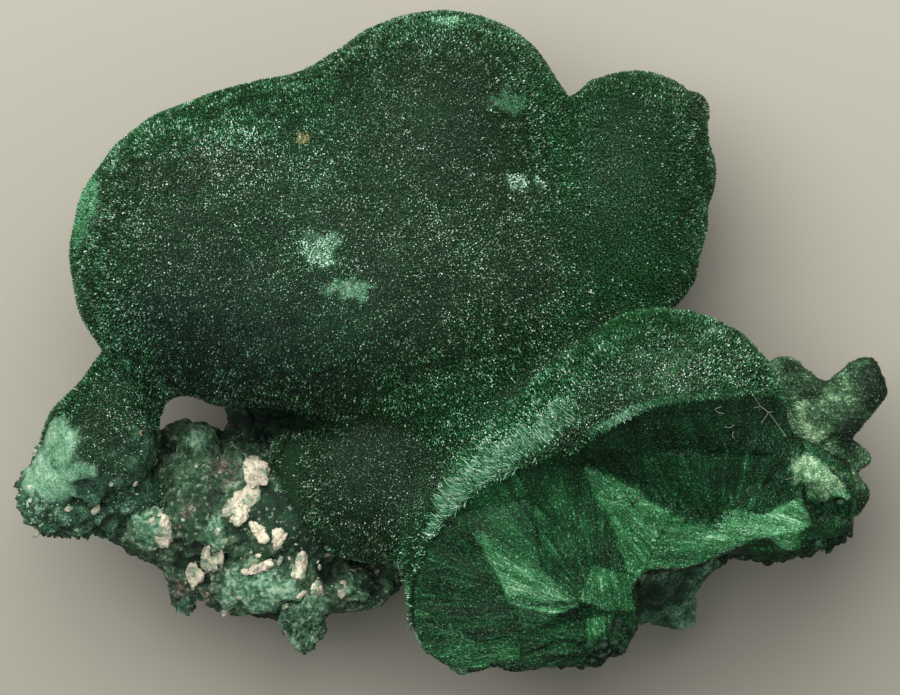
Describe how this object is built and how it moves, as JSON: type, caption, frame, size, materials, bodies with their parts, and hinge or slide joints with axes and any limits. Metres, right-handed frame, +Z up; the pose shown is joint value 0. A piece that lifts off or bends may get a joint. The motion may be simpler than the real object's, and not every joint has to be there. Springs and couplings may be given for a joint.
{
  "type": "mineral specimen",
  "caption": "Velvety botryoidal malachite with broken radiating fans, grown over green-stained host rock set with pale gangue grains, lying on its broken back.",
  "frame": {"origin": "under the middle of the specimen's box, on the surface it rests on", "axes": "+X along the specimen's length, +Y across it towards the crown of the upper mass, +Z up, towards the velvet and the broken fans"},
  "size_m": [0.0738, 0.0563, 0.0335],
  "materials": {
    "velvet_malachite": "velvety pile of fine dark green needles, silky where broken",
    "stained_rock": "rough broken rock, stained and crusted green",
    "pale_gangue": "dull cream grains"
  },
  "bodies": {
    "root": {"malachite_growth": "velvet_malachite", "host_rock": "stained_rock", "pale_grain_01": "pale_gangue", "pale_grain_02": "pale_gangue", "pale_grain_03": "pale_gangue", "pale_grain_04": "pale_gangue", "pale_grain_05": "pale_gangue", "pale_grain_06": "pale_gangue", "pale_grain_07": "pale_gangue", "pale_grain_08": "pale_gangue", "pale_grain_09": "pale_gangue", "pale_grain_10": "pale_gangue", "pale_grain_11": "pale_gangue"}
  },
  "joints": []
}
